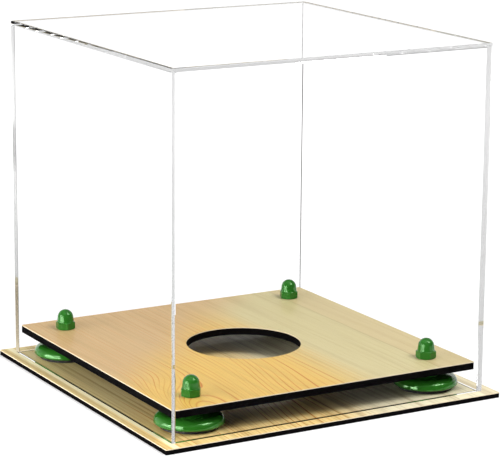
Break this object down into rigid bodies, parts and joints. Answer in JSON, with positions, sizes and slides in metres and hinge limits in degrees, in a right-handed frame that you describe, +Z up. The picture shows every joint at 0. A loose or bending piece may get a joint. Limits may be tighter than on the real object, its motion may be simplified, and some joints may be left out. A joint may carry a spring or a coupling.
{
  "type": "bowling ball display case",
  "caption": "Clear square cover over a wood-faced base, with a raised platform on round corner risers that holds a ball in a round hole.",
  "frame": {"origin": "centre of the underside of the base board", "axes": "+Z up, -Y out of the front face, +X to the right seen from the front"},
  "size_m": [0.2724, 0.2724, 0.2578],
  "materials": {
    "clear_acrylic": "polished clear",
    "black_acrylic": "gloss",
    "light_wood_veneer": "lacquered, semi-gloss",
    "green_plastic": "gloss",
    "green_enamel": "gloss",
    "black_rubber": "matt",
    "plated_steel": "zinc plated"
  },
  "bodies": {
    "base": {"base_board": "black_acrylic", "base_veneer": "light_wood_veneer"},
    "cover": {"cover_top": "clear_acrylic", "cover_front": "clear_acrylic", "cover_back": "clear_acrylic", "cover_left": "clear_acrylic", "cover_right": "clear_acrylic"},
    "stand": {"platform_board": "black_acrylic", "platform_veneer": "light_wood_veneer", "riser_front_left": "green_plastic", "pad_front_left": "black_rubber", "nut_front_left": "green_enamel", "bolt_front_left": "plated_steel", "riser_front_right": "green_plastic", "pad_front_right": "black_rubber", "nut_front_right": "green_enamel", "bolt_front_right": "plated_steel", "riser_back_left": "green_plastic", "pad_back_left": "black_rubber", "nut_back_left": "green_enamel", "bolt_back_left": "plated_steel", "riser_back_right": "green_plastic", "pad_back_right": "black_rubber", "nut_back_right": "green_enamel", "bolt_back_right": "plated_steel"}
  },
  "joints": [
    {"name": "cover_lift", "type": "slide", "parent": "base", "child": "cover", "axis": [0, 0, 1], "range_m": [0, 0.3]},
    {"name": "stand_lift", "type": "slide", "parent": "base", "child": "stand", "axis": [0, 0, 1], "range_m": [0, 0.15]}
  ]
}
